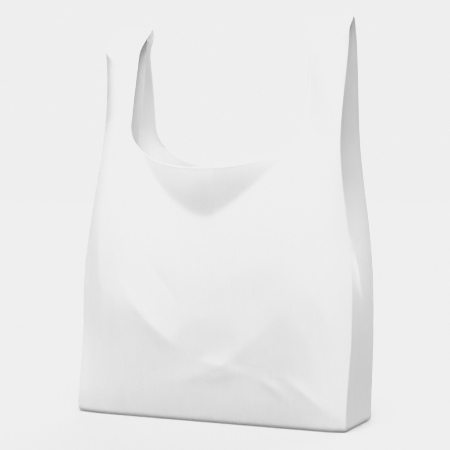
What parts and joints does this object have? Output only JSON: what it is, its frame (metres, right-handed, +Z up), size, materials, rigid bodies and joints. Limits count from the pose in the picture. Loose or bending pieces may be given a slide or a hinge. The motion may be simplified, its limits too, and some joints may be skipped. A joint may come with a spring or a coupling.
{
  "type": "shopping bag",
  "caption": "Open vest-type carrier bag of thin white film, with tucked side gussets, flat bottom, U-shaped mouth and handles welded at the top",
  "frame": {"origin": "on the ground, under the middle of the outer box of the standing bag", "axes": "+Z up, -Y out of the front panel, +X to the right seen from the front"},
  "size_m": [0.3047, 0.0956, 0.4083],
  "materials": {
    "white_film": "glossy, slightly see-through white film"
  },
  "bodies": {
    "root": {"bag": "white_film"}
  },
  "joints": []
}
